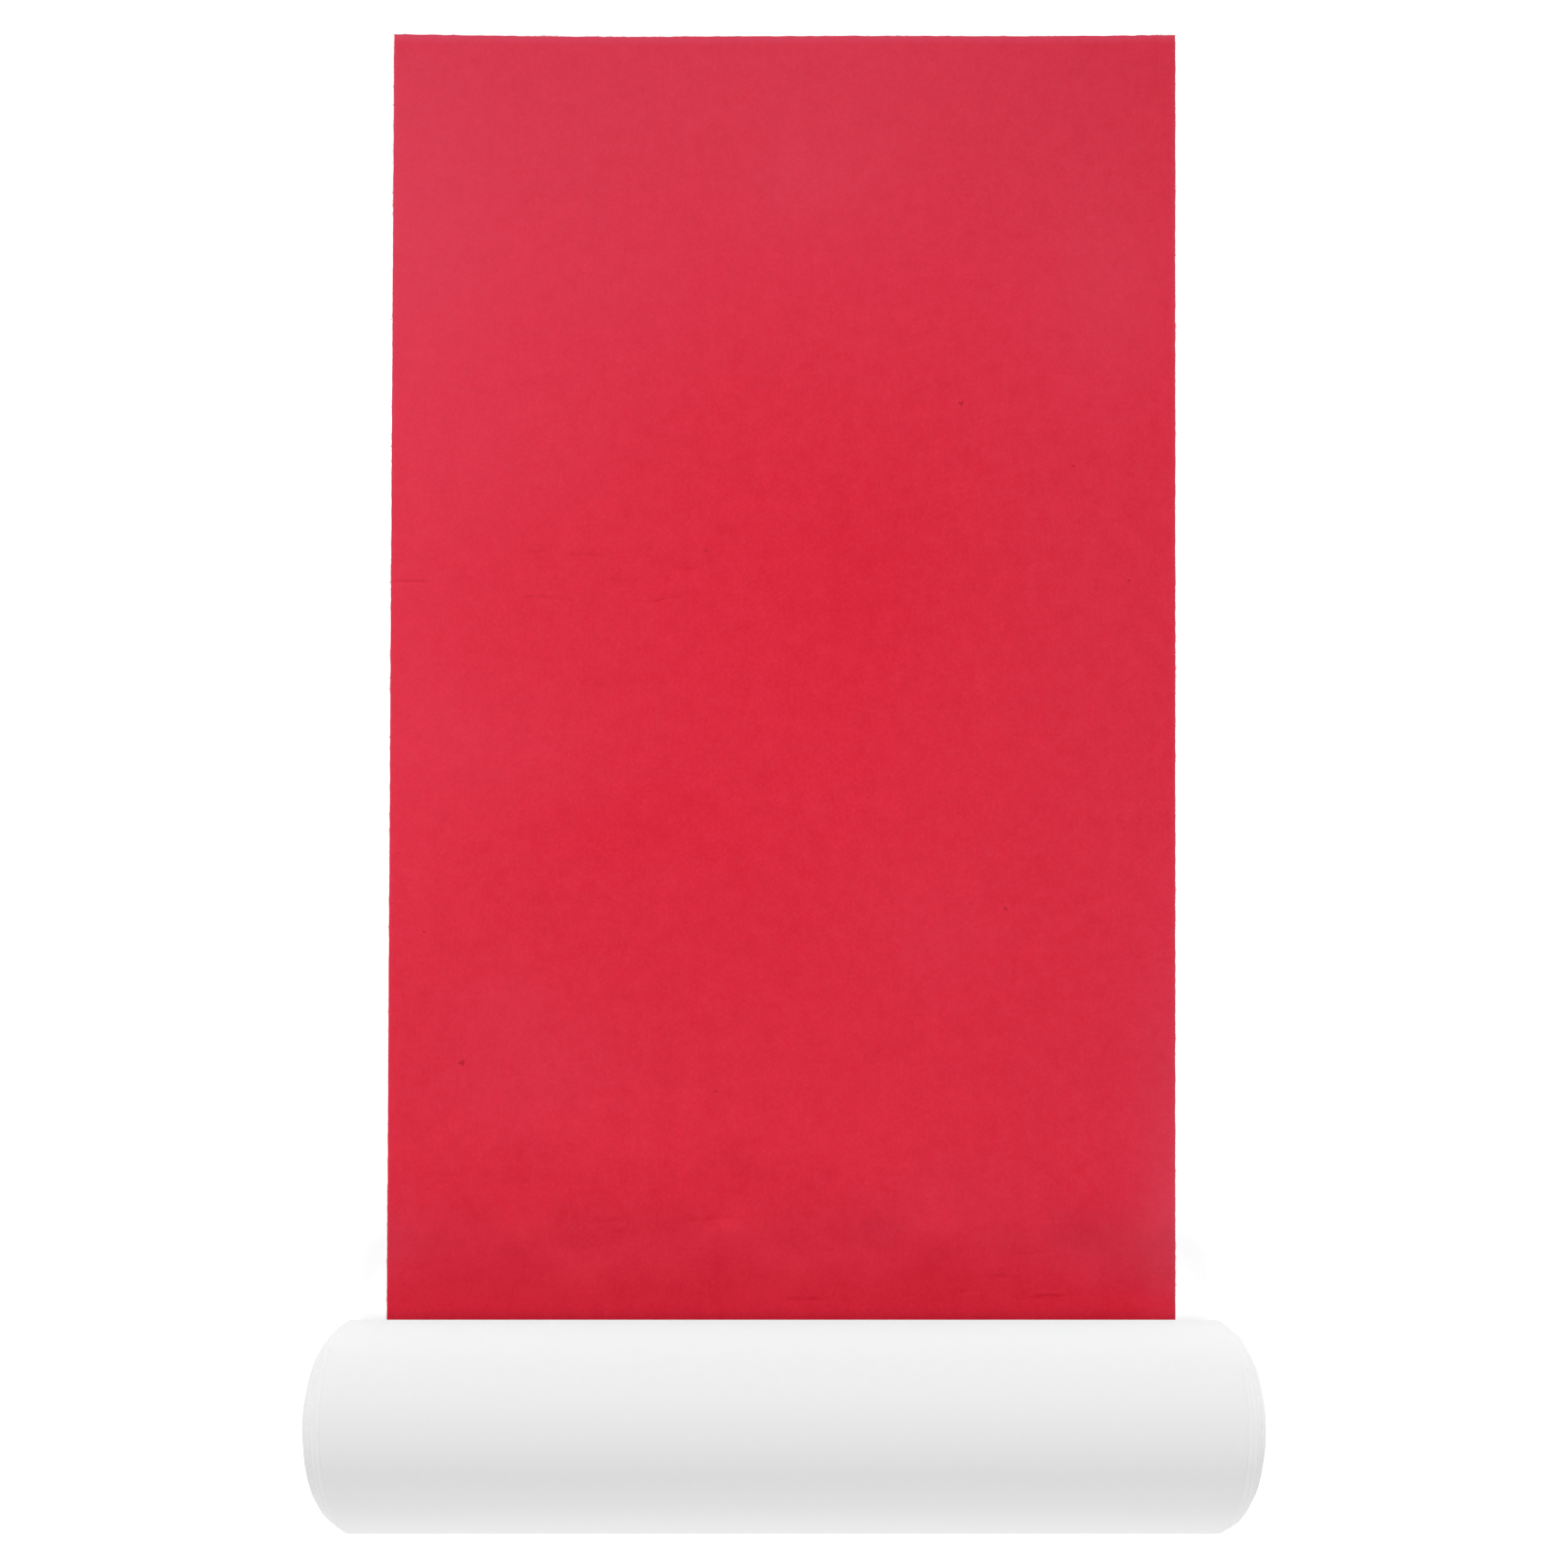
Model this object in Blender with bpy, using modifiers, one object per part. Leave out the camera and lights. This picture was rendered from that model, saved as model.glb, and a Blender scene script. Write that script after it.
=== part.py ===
"""A roll of red craft felt with a white paper backing, its loose end unrolled flat on a table.

The strip lies red side up along +Y, passes under the roll and is wound up over it, red side inwards,
so the white backing is the outside of the roll. X runs along the roll, and +Z is up. The origin is at
the middle of the whole part, on the table.
"""

import math

import bmesh
import bpy

# Driving sizes, in metres
STRIP_LENGTH = 5.0        # the whole strip, wound and loose together
STRIP_THICKNESS = 0.0015  # felt and backing paper together
TURN_PITCH = 0.0018       # from one turn to the next, a little looser than the strip is thick
ROLL_RADIUS = 0.052       # outer radius where the strip runs into the roll
RIM_HALF_LENGTH = 0.2228  # half the roll's length at its outer turn
CROWN = 0.0236            # how far the innermost turns stand out past the outer one, at each end
END_LEAN = 0.006          # each end reaches this much further at the front and less at the back
FLAT_SPOT = 0.009         # width of the flat that the roll's weight presses into its underside
LOOSE_LENGTH = 0.766      # flat loose end, from under the roll's axis to its far edge
SHEET_RIGHT = 0.2232      # straight right edge of the loose end, from the middle of the roll
SHEET_LEFT_NEAR = -0.2268  # left edge at the roll
SHEET_LEFT_FAR = -0.2224  # left edge at the far end, where the cut runs in a little
FAR_EDGE_BOW = 0.0010     # the far edge's corners reach this much further than its middle
FAR_EDGE_WAVE = 0.0003    # height of the slow wave in the hand-cut far edge
GAP = 0.0003              # clearance between the roll and the loose end

# Smoothness of the round stretches
TURN_STEPS = 90
HOLLOW_STEPS = 48
BARREL_STEPS = 72
CROWN_STEPS = 9
FAR_EDGE_STEPS = 24

# Worked out from the driving sizes
WOUND_LENGTH = STRIP_LENGTH - LOOSE_LENGTH
MID_RADIUS = ROLL_RADIUS - STRIP_THICKNESS / 2
INNER_MID_RADIUS = math.sqrt(MID_RADIUS**2 - WOUND_LENGTH * TURN_PITCH / math.pi)
HOLLOW_RADIUS = INNER_MID_RADIUS - STRIP_THICKNESS / 2
TURNS = (MID_RADIUS - INNER_MID_RADIUS) / TURN_PITCH
BACK_RADIUS = ROLL_RADIUS - TURN_PITCH / 4
AXIS_Y = (BACK_RADIUS - LOOSE_LENGTH) / 2
AXIS_Z = math.sqrt(ROLL_RADIUS**2 - FLAT_SPOT**2)

# Colours, linear, from the photograph
FELT_RED = (0.68, 0.027, 0.052)
PAPER_WHITE = (0.83, 0.83, 0.83)


def clear_scene():
    """Remove whatever the file starts with."""
    for obj in list(bpy.data.objects):
        bpy.data.objects.remove(obj, do_unlink=True)


def collection(name):
    """A new collection in the scene."""
    made = bpy.data.collections.new(name)
    bpy.context.scene.collection.children.link(made)
    return made


def material(name, colour, roughness):
    """A plain cloth or paper finish."""
    made = bpy.data.materials.new(name)
    made.use_nodes = True
    shader = made.node_tree.nodes["Principled BSDF"]
    shader.inputs["Base Color"].default_value = (*colour, 1.0)
    shader.inputs["Roughness"].default_value = roughness
    shader.inputs["Metallic"].default_value = 0.0
    made.diffuse_color = (*colour, 1.0)
    return made


def slab(name, outlines, depth, group):
    """A flat outline given a thickness: the first outline is the edge, any other is a hole in it."""
    curve = bpy.data.curves.new(name, "CURVE")
    curve.dimensions = "2D"
    curve.fill_mode = "BOTH"
    curve.extrude = depth / 2
    for points in outlines:
        spline = curve.splines.new("POLY")
        spline.points.add(len(points) - 1)
        for point, (u, v) in zip(spline.points, points):
            point.co = (u, v, 0.0, 1.0)
        spline.use_cyclic_u = True
    drawn = bpy.data.objects.new(name + "_outline", curve)
    group.objects.link(drawn)

    evaluated = drawn.evaluated_get(bpy.context.evaluated_depsgraph_get())
    mesh = bpy.data.meshes.new_from_object(evaluated)
    mesh.name = name
    work = bmesh.new()
    work.from_mesh(mesh)
    bmesh.ops.remove_doubles(work, verts=work.verts, dist=0.00001)
    bmesh.ops.recalc_face_normals(work, faces=work.faces)
    work.to_mesh(mesh)
    work.free()
    bpy.data.objects.remove(drawn, do_unlink=True)

    solid = bpy.data.objects.new(name, mesh)
    group.objects.link(solid)
    return solid


def wound_edge():
    """The roll's outline seen along its axis: one spiral turn, with a step where the strip leaves it.

    The turn starts under the axis, goes up the back, over the top and down the front. It is pressed flat
    on the table at its start, and on the loose end where it comes round again.
    """
    points = []
    for step in range(TURN_STEPS + 1):
        turn = step / TURN_STEPS
        angle = 2 * math.pi * turn
        radius = ROLL_RADIUS - TURN_PITCH * turn
        floor = 0.0 if turn < 0.5 else TURN_PITCH
        height = max(AXIS_Z - radius * math.cos(angle), floor)
        points.append((-radius * math.sin(angle), height - AXIS_Z))
    return points


def hollow_edge():
    """The hollow's outline: the innermost turn's red side, with a step at the strip's inner end."""
    end_angle = 2 * math.pi * (TURNS % 1.0)
    points = []
    for step in range(HOLLOW_STEPS + 1):
        back = step / HOLLOW_STEPS
        angle = end_angle - 2 * math.pi * back
        radius = HOLLOW_RADIUS + TURN_PITCH * back
        points.append((-radius * math.sin(angle), -radius * math.cos(angle)))
    return points


def barrel(group):
    """The shape that the roll's two ends are cut to: each a crown, round at the rim and flatter inside.

    Such a roll is sawn from a wider one. The soft felt gives under the blade, so the ends also lean.
    """
    clear = 2 * TURN_PITCH
    crown = []
    for step in range(CROWN_STEPS + 1):
        share = math.sin(math.pi / 2 * step / CROWN_STEPS)
        crown.append((ROLL_RADIUS * share, RIM_HALF_LENGTH + CROWN * math.sqrt(1 - share**3)))
    crown.append((ROLL_RADIUS + clear, RIM_HALF_LENGTH))
    profile = crown + [(radius, -along) for radius, along in reversed(crown)]

    mesh = bpy.data.meshes.new("end_cutter")
    edges = [(i, i + 1) for i in range(len(profile) - 1)]
    mesh.from_pydata([(radius, 0.0, along) for radius, along in profile], edges, [])
    cutter = bpy.data.objects.new("end_cutter", mesh)
    group.objects.link(cutter)
    screw = cutter.modifiers.new("turned", "SCREW")
    screw.axis = "Z"
    screw.angle = 2 * math.pi
    screw.steps = BARREL_STEPS
    screw.render_steps = BARREL_STEPS
    screw.use_merge_vertices = True
    screw.merge_threshold = 0.00005
    lean = cutter.modifiers.new("leaning_ends", "SIMPLE_DEFORM")
    lean.deform_method = "TAPER"
    lean.deform_axis = "Y"
    lean.factor = 2 * END_LEAN / RIM_HALF_LENGTH * (ROLL_RADIUS + clear) / ROLL_RADIUS
    lean.lock_x = True
    cutter.modifiers.new("flat_faces", "TRIANGULATE")
    cutter.location = (0.0, AXIS_Y, AXIS_Z)
    cutter.rotation_euler = (0.0, math.pi / 2, 0.0)
    cutter.hide_render = True
    cutter.display_type = "WIRE"
    return cutter


def felt_roll(parts, cutters):
    """The wound strip as one solid, with its hollow middle and its crowned ends."""
    depth = 2 * (RIM_HALF_LENGTH + 2 * CROWN)
    roll = slab("felt_roll", [wound_edge(), hollow_edge()], depth, parts)
    roll.location = (0.0, AXIS_Y, AXIS_Z)
    roll.rotation_euler = (math.pi / 2, 0.0, math.pi / 2)
    ends = roll.modifiers.new("ends", "BOOLEAN")
    ends.operation = "INTERSECT"
    ends.solver = "MANIFOLD"
    ends.object = barrel(cutters)
    slivers = roll.modifiers.new("no_slivers", "WELD")
    slivers.merge_threshold = 0.0001
    roll.data.shade_smooth()
    roll.data.set_sharp_from_angle(angle=math.radians(30))
    roll.data.materials.append(material("paper_white", PAPER_WHITE, 0.6))
    return roll


def far_edge(side):
    """How far past its plain length the far edge reaches, for side from -1 at the left to 1 at the right."""
    wave = FAR_EDGE_WAVE * math.sin(5.0 * side + 0.8)
    return FAR_EDGE_BOW * side**2 + wave


def felt_sheet(parts):
    """The loose end, flat on the table, its left edge cut a little aslant."""
    near = AXIS_Y + GAP
    far = AXIS_Y + LOOSE_LENGTH - FAR_EDGE_BOW
    edge = [(SHEET_LEFT_NEAR, near), (SHEET_RIGHT, near)]
    for step in range(FAR_EDGE_STEPS + 1):
        side = 1.0 - 2.0 * step / FAR_EDGE_STEPS
        across = SHEET_LEFT_FAR + (SHEET_RIGHT - SHEET_LEFT_FAR) * (side + 1.0) / 2
        edge.append((across, far + far_edge(side)))
    sheet = slab("felt_sheet", [edge], STRIP_THICKNESS, parts)
    sheet.location = (0.0, 0.0, STRIP_THICKNESS / 2)
    sheet.data.materials.append(material("felt_red", FELT_RED, 0.95))
    return sheet


def main():
    clear_scene()
    parts = collection("roll_of_felt")
    cutters = collection("cutters")
    felt_roll(parts, cutters)
    felt_sheet(parts)
    print(f"{TURNS:.2f} turns, {WOUND_LENGTH:.3f} m wound, hollow {2000 * HOLLOW_RADIUS:.1f} mm across")


main()
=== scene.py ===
# %% [markdown]
# # A roll of felt, dressed for its picture
# A maker's roll of red craft felt: one long strip with a thin white paper bonded to its back, wound red
# side inwards, so the roll is white and the loose end is red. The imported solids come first, as a fixed
# frame. The places below follow from them.

# %% Load the frame
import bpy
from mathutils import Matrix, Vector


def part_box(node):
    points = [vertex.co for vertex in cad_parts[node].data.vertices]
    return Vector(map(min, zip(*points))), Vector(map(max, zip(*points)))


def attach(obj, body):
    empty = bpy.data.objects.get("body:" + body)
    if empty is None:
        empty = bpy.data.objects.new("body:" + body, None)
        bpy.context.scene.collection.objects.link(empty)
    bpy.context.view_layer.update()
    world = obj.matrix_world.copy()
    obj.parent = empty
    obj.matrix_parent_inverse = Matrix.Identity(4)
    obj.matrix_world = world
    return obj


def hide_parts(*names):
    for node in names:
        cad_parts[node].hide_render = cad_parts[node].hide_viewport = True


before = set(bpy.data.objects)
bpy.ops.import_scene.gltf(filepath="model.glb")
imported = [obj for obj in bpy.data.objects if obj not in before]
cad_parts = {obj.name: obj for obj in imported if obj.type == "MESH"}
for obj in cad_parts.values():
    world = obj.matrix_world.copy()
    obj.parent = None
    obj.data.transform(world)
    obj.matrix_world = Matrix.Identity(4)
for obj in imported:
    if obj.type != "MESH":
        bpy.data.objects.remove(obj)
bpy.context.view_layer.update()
roll_low, roll_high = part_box("felt_roll")
sheet_low, sheet_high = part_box("felt_sheet")


print(f"roll {roll_high.z - roll_low.z:.4f} m high, sheet {sheet_high.y - sheet_low.y:.4f} m long")

# %% [markdown]
# ## The strip's own sizes
# The strip is 1.35 mm of felt on 0.15 mm of paper, wound a little looser than it is thick, because nobody
# winds felt dead tight. All of the sizes are in metres, and the roll's axis follows from the solids: the
# loose end starts just in front of it.

# %% Name the sizes
import math

import bmesh
import bpy
import numpy as np

TAU = 2 * math.pi
STRIP_LENGTH = 5.0
STRIP_THICKNESS = 0.0015
PAPER_THICKNESS = 0.00015
TURN_PITCH = 0.0018
ROLL_RADIUS = 0.052
RIM_HALF_LENGTH = 0.2228
CROWN = 0.0236
END_LEAN = 0.006
FLAT_SPOT = 0.009
GAP = 0.0003
SHEET_RIGHT = 0.2232
SHEET_LEFT_NEAR = -0.2268
SHEET_LEFT_FAR = -0.2224
FAR_EDGE_BOW = 0.0010
FAR_EDGE_WAVE = 0.0003

AXIS_Y = sheet_low.y - GAP
AXIS_Z = math.sqrt(ROLL_RADIUS**2 - FLAT_SPOT**2)
LOOSE_LENGTH = sheet_high.y - AXIS_Y
MID_RADIUS = ROLL_RADIUS - STRIP_THICKNESS / 2
WOUND_LENGTH = STRIP_LENGTH - LOOSE_LENGTH
INNER_MID_RADIUS = math.sqrt(MID_RADIUS**2 - WOUND_LENGTH * TURN_PITCH / math.pi)
TURNS = (MID_RADIUS - INNER_MID_RADIUS) / TURN_PITCH
print(f"axis y {AXIS_Y:.4f} z {AXIS_Z:.4f}, loose end {LOOSE_LENGTH:.4f} m, {TURNS:.1f} turns")

# %% [markdown]
# ## The camera
# The picture was taken from straight above with a moderately wide lens, which is why the top of the
# roll, being nearer, looks so much wider than the felt. The height follows from how wide the felt
# stands in the frame. A small helper puts cameras, lamps and meshes in the scene, here and later.

# %% Point the camera straight down
LENS = 30.0
SENSOR = 36.0
FRAME_PIXELS = 1700
FELT_PIXELS = 856
SHEET_WIDTH = SHEET_RIGHT - SHEET_LEFT_NEAR
CAMERA_AHEAD_OF_ROLL = 0.3396
NEAREST_SEEN = 0.01


def place_in_scene(data):
    """An object in the scene that holds a camera, a lamp or a mesh, under the same name."""
    made = bpy.data.objects.new(data.name, data)
    bpy.context.scene.collection.objects.link(made)
    return made


focal_pixels = LENS / SENSOR * FRAME_PIXELS
camera_height = focal_pixels * SHEET_WIDTH / FELT_PIXELS + STRIP_THICKNESS
camera_data = bpy.data.cameras.new("overhead_camera")
camera_data.lens = LENS
camera_data.sensor_width = SENSOR
camera_data.clip_start = NEAREST_SEEN
camera = place_in_scene(camera_data)
camera.location = (0.0, AXIS_Y + CAMERA_AHEAD_OF_ROLL, camera_height)
bpy.context.scene.camera = camera
print(f"camera {camera_height:.3f} m above the table")

# %% [markdown]
# ## How the strip winds
# Seen along its axis the strip is a spiral that gets one pitch smaller at each turn. Three things keep
# it from being a drawing of a spiral: the turns breathe a little, the coreless middle goes slightly
# oval, and the weight of the roll presses a small flat into every turn where it crosses the bottom.
# A formula for one place on the strip is better here than a bent mesh, because felt, paper and stray
# fibres can all ask it where they belong.

# %% Follow the strip round the roll
BREATH = 0.00007
# share, how often a radian, where it starts
BREATHING = [(1.0, 1.7, 0.5), (0.7, 2.9, 2.0)]
OVAL = 0.0008
OVAL_GROWTH = 1.5
OVAL_TURN = 0.9
LIFT_FADE = 0.86
FLAT_SOFTNESS = 0.00025
SAG = ROLL_RADIUS - AXIS_Z
NEAR_BOTTOM = 0.5


def sum_of_waves(angle, waves):
    """Several sine waves together."""
    return sum(share * math.sin(often * angle + start) for share, often, start in waves)


def spiral_radius(angle):
    """The plain spiral: how far the paper side is from the axis after winding through angle."""
    return ROLL_RADIUS - TURN_PITCH * angle / TAU


def wound_place(angle):
    """The paper side's height and depth in the picture, and the direction into the felt."""
    radius = spiral_radius(angle)
    depth_in = min(angle / (TAU * TURNS), 1.0)
    settled = min(angle / TAU, 1.0)
    breath = BREATH * settled * sum_of_waves(angle, BREATHING)
    oval = OVAL * depth_in**OVAL_GROWTH * math.cos(2 * angle + OVAL_TURN)
    radius += breath + oval
    y = AXIS_Y - radius * math.sin(angle)
    z = AXIS_Z - radius * math.cos(angle)
    if math.cos(angle) > NEAR_BOTTOM:
        crossing = round(angle / TAU)
        lowest = AXIS_Z - spiral_radius(TAU * crossing)
        level = lowest + SAG * LIFT_FADE ** max(crossing - 1, 0)
        z = (z + level + math.hypot(z - level, FLAT_SOFTNESS)) / 2
    return y, z, math.sin(angle), math.cos(angle)


def travel(angle):
    """How much strip has been wound up by that angle."""
    return MID_RADIUS * angle - TURN_PITCH * angle**2 / (2 * TAU)


print(f"wound strip {travel(TAU * TURNS):.3f} m")

# %% [markdown]
# ## How wide the strip is
# A roll like this is sawn from a wider one, and soft felt gives under the blade. So each end is a low
# crown, round at the rim and flatter inside, that also leans: the roll is a little longer at the front
# than at the back. The edges wander by a fraction of a millimetre from turn to turn as well.

# %% Follow the strip's two edges
WANDER = 0.0004
LEFT_WANDERING = [(1.0, 0.83, 1.0), (0.6, 2.3, 0.0)]
RIGHT_WANDERING = [(1.0, 0.71, 4.0), (0.6, 2.7, 1.5)]
EDGE_SETTLES_AFTER = 0.9 * math.pi


def smooth_step(value):
    """0 before 0, 1 after 1, and an even change between."""
    value = min(max(value, 0.0), 1.0)
    return value * value * (3 - 2 * value)


def wound_edges(angle):
    """The strip's left and right edge after winding through angle."""
    share = spiral_radius(angle) / ROLL_RADIUS
    crown = CROWN * math.sqrt(max(0.0, 1 - share**3))
    lean = 1 - END_LEAN / RIM_HALF_LENGTH * share * math.sin(angle)
    half = (RIM_HALF_LENGTH + crown) * lean
    left = -half + WANDER * sum_of_waves(angle, LEFT_WANDERING)
    right = half + WANDER * sum_of_waves(angle, RIGHT_WANDERING)
    settled = smooth_step(angle / EDGE_SETTLES_AFTER)
    left = SHEET_LEFT_NEAR + (left - SHEET_LEFT_NEAR) * settled
    right = SHEET_RIGHT + (right - SHEET_RIGHT) * settled
    return left, right


print("top of the roll, edges", [round(edge, 4) for edge in wound_edges(math.pi)])

# %% [markdown]
# ## One skin for every layer
# Felt and paper, wound or loose, are all the same kind of mesh: a flat closed loop across the strip,
# repeated along it and joined up. So one set of functions makes them. The first places the points. It
# takes the places along the strip and the stations across it, and makes the cut edges a little ragged.

# %% Place the points of a layer
RAGGED_DEPTH = 0.001


def loop_across(stations, low, high, round_edge):
    """One loop across the strip: a share of its width, a step in from the cut edge, and a depth."""
    side = [(share, inset, low) for share, inset in stations]
    back = [(share, inset, high) for share, inset in reversed(stations)]
    middle = (low + high) / 2
    quarter = (high - low) / 4
    right = [(1.0, -round_edge / 3, middle - quarter), (1.0, 0.0, middle + quarter / 2)]
    left = [(0.0, 0.0, middle + quarter / 2), (0.0, round_edge / 3, middle - quarter)]
    return np.array(side + right + back + left)


def layer_points(places, loop, ragged, relief, seed):
    """Every point of a layer. A place is (y, z, into y, into z, left, right, travel)."""
    share, inset, depth = loop.T
    y, z, into_y, into_z, left, right = (column[:, None] for column in np.array(places).T[:6])
    x = left + (right - left) * share + inset
    if ragged:
        at_edge = np.exp(-np.abs(inset) / RAGGED_DEPTH) * ((share == 0.0) | (share == 1.0))
        jitter = np.random.default_rng(seed).normal(0.0, ragged, (len(places), 2))
        x += at_edge * np.where(share < 0.5, jitter[:, :1], jitter[:, 1:])
    y = y + into_y * depth
    z = z + into_z * depth
    if relief is not None:
        y, z = relief(x, y, z, depth >= depth.max())
    return np.stack([np.broadcast_to(x, y.shape), y, z], axis=2)


print("points across a sample layer", len(loop_across([(0.0, 0.0), (1.0, 0.0)], 0.0, 0.001, 0.0001)))

# %% [markdown]
# The second joins the loops with faces and closes the two ends. It lays out UVs in real metres, so a
# pattern keeps its scale on every layer, and gives the cut edges a material slot of their own.

# %% Join the loops into a closed mesh
SHARP_ANGLE = math.radians(50)


def end_cap(count, size):
    """The faces that close one end of a layer, from the points of its first loop."""
    strip = [[a, size - 3 - a, size - 4 - a, a + 1] for a in range(count - 1)]
    return [[size - 1, size - 2, size - 3, 0]] + strip + [[count - 1, count + 2, count + 1, count]]


def lay_out_uvs(mesh, points, loop, travel_at, row, col, cap):
    """UVs in metres: round the layer one way, and along the strip the other."""
    step = np.linalg.norm(np.diff(np.vstack([points[0], points[0][:1]]), axis=0), axis=1)
    around = np.concatenate([[0.0], np.cumsum(step)])
    corner_u = np.stack([around[col], around[col + 1], around[col + 1], around[col]], axis=2)
    corner_v = np.stack([travel_at[row], travel_at[row], travel_at[row + 1], travel_at[row + 1]], axis=2)
    sides = np.stack([corner_u, corner_v], axis=3).reshape(-1, 2)
    ends = [(around[v], travel_at[end] + loop[v, 2]) for end in (0, -1) for face in cap for v in face]
    uv = np.vstack([sides, np.array(ends)])
    mesh.uv_layers.new(name="strip").data.foreach_set("uv", uv.ravel())


def strip_layer(name, places, stations, low, high, round_edge, ragged=0.0, relief=None, seed=1):
    """A closed mesh of one layer of the strip, as an object in the scene."""
    loop = loop_across(stations, low, high, round_edge)
    points = layer_points(places, loop, ragged, relief, seed)
    rows, size = points.shape[:2]
    count = len(stations)
    row, col = np.meshgrid(np.arange(rows - 1), np.arange(size), indexing="ij")
    after = (col + 1) % size
    sides = np.stack([row * size + col, row * size + after,
                      (row + 1) * size + after, (row + 1) * size + col], axis=2).reshape(-1, 4)
    cap = end_cap(count, size)
    last = (rows - 1) * size
    far_cap = [[last + v for v in reversed(face)] for face in cap]
    mesh = bpy.data.meshes.new(name)
    mesh.from_pydata(points.reshape(-1, 3).tolist(), [], sides.tolist() + cap + far_cap)
    lay_out_uvs(mesh, points, loop, np.array(places)[:, 6], row, col, cap)
    is_cut = (col >= count - 1) & (col <= count + 1) | (col >= size - 3)
    slots = np.ones(len(mesh.polygons), dtype=np.int32)
    slots[: len(sides)] = is_cut.ravel()
    mesh.polygons.foreach_set("material_index", slots)
    mesh.shade_smooth()
    mesh.set_sharp_from_angle(angle=SHARP_ANGLE)
    return report(place_in_scene(mesh))


print("faces in the cap of a sample layer", len(end_cap(2, 8)))

# %% [markdown]
# A closed mesh with its faces looking outwards has a volume above zero. Printing it after each piece is
# the quickest way to catch a mesh that came out inside out. A small cube shows that the sum is right.

# %% Measure a piece
CUBIC_CENTIMETRES = 1e6
CENTIMETRE = 0.01


def report(obj):
    """Print a piece's triangles and its signed volume, and hand the piece on."""
    work = bmesh.new()
    work.from_mesh(obj.data)
    volume = work.calc_volume(signed=True)
    open_edges = sum(1 for edge in work.edges if len(edge.link_faces) != 2)
    work.free()
    triangles = sum(len(face.vertices) - 2 for face in obj.data.polygons)
    print(f"{obj.name}: {triangles} triangles, {volume * CUBIC_CENTIMETRES:.2f} cubic centimetres,"
          f" {open_edges} open edges")
    return obj


cube = bmesh.new()
bmesh.ops.create_cube(cube, size=CENTIMETRE)
print(f"a cube of one centimetre measures {cube.calc_volume(signed=True) * CUBIC_CENTIMETRES:.2f}")
cube.free()

# %% [markdown]
# ## The wound turns
# The felt and the paper follow the same spiral at their own depths. The outer turn shows from all
# round, so it gets twice as many steps as the inner ones, of which only the edges show.

# %% Wind the felt and the paper
OUTER_STEPS = 144
INNER_STEPS = 72
SHARES = [0.02, 0.07, 0.18, 0.34, 0.5, 0.66, 0.82, 0.93, 0.98]
FELT_ROUND = 0.00018
FELT_BAND = 0.0012
FELT_BACK = PAPER_THICKNESS * 0.9
TURNS_RAGGED = 0.00009
PAPER_ROUND = 0.00004
PAPER_BAND = 0.0006
PAPER_BULGE = 0.00002


def stations_across(shares, edge_round, edge_band):
    """Places across a layer: shares of its width, and two steps in from each cut edge."""
    left = [(0.0, edge_round), (0.0, edge_band)]
    right = [(1.0, -edge_band), (1.0, -edge_round)]
    return left + [(share, 0.0) for share in shares] + right


wound_angles = [TAU * step / OUTER_STEPS for step in range(OUTER_STEPS)]
inner_count = round(INNER_STEPS * (TURNS - 1))
wound_angles += [TAU + TAU * (TURNS - 1) * step / inner_count for step in range(inner_count + 1)]
wound_places = [(*wound_place(a), *wound_edges(a), travel(a)) for a in wound_angles]

felt_turns = strip_layer("felt_turns", wound_places, stations_across(SHARES, FELT_ROUND, FELT_BAND),
                         FELT_BACK, STRIP_THICKNESS, FELT_ROUND, ragged=TURNS_RAGGED, seed=11)
paper_stations = stations_across(SHARES, PAPER_ROUND, PAPER_BAND)
backing_turns = strip_layer("backing_turns", wound_places, paper_stations, 0.0, PAPER_THICKNESS,
                            PAPER_BULGE)

# %% [markdown]
# ## The loose end
# Felt that has been on a roll lies down almost flat. What is left are slow waves a few tenths of a
# millimetre high, some short creases across its left half where it was once bent, and more of them
# where it comes off the roll. Each is a soft ridge or trough in the mesh, so that it catches the light
# from any side.

# %% Shape the loose end's surface
PIXEL = SHEET_WIDTH / FELT_PIXELS
CENTRE_Y = AXIS_Y + CAMERA_AHEAD_OF_ROLL
MILLIMETRE = 0.001
WAVE_HEIGHT = 0.00022
WAVE_FADES_OVER = 0.03
# the way it runs, share, length, snaking, length and start of the snaking, start
SLOW_WAVES = [("y", 1.0, 0.19, 1.9, 0.61, 0.7, 0.4), ("y", 0.6, 0.083, 2.3, 0.37, 0.0, 2.0),
              ("x", 0.8, 0.27, 1.3, 0.52, 0.0, 1.1)]
WAVES_TOGETHER = 2.4


def on_sheet(column, row):
    """A place on the felt from its place in the picture, in pixels."""
    return (column - FRAME_PIXELS / 2) * PIXEL, CENTRE_Y - (row - FRAME_PIXELS / 2) * PIXEL


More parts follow.
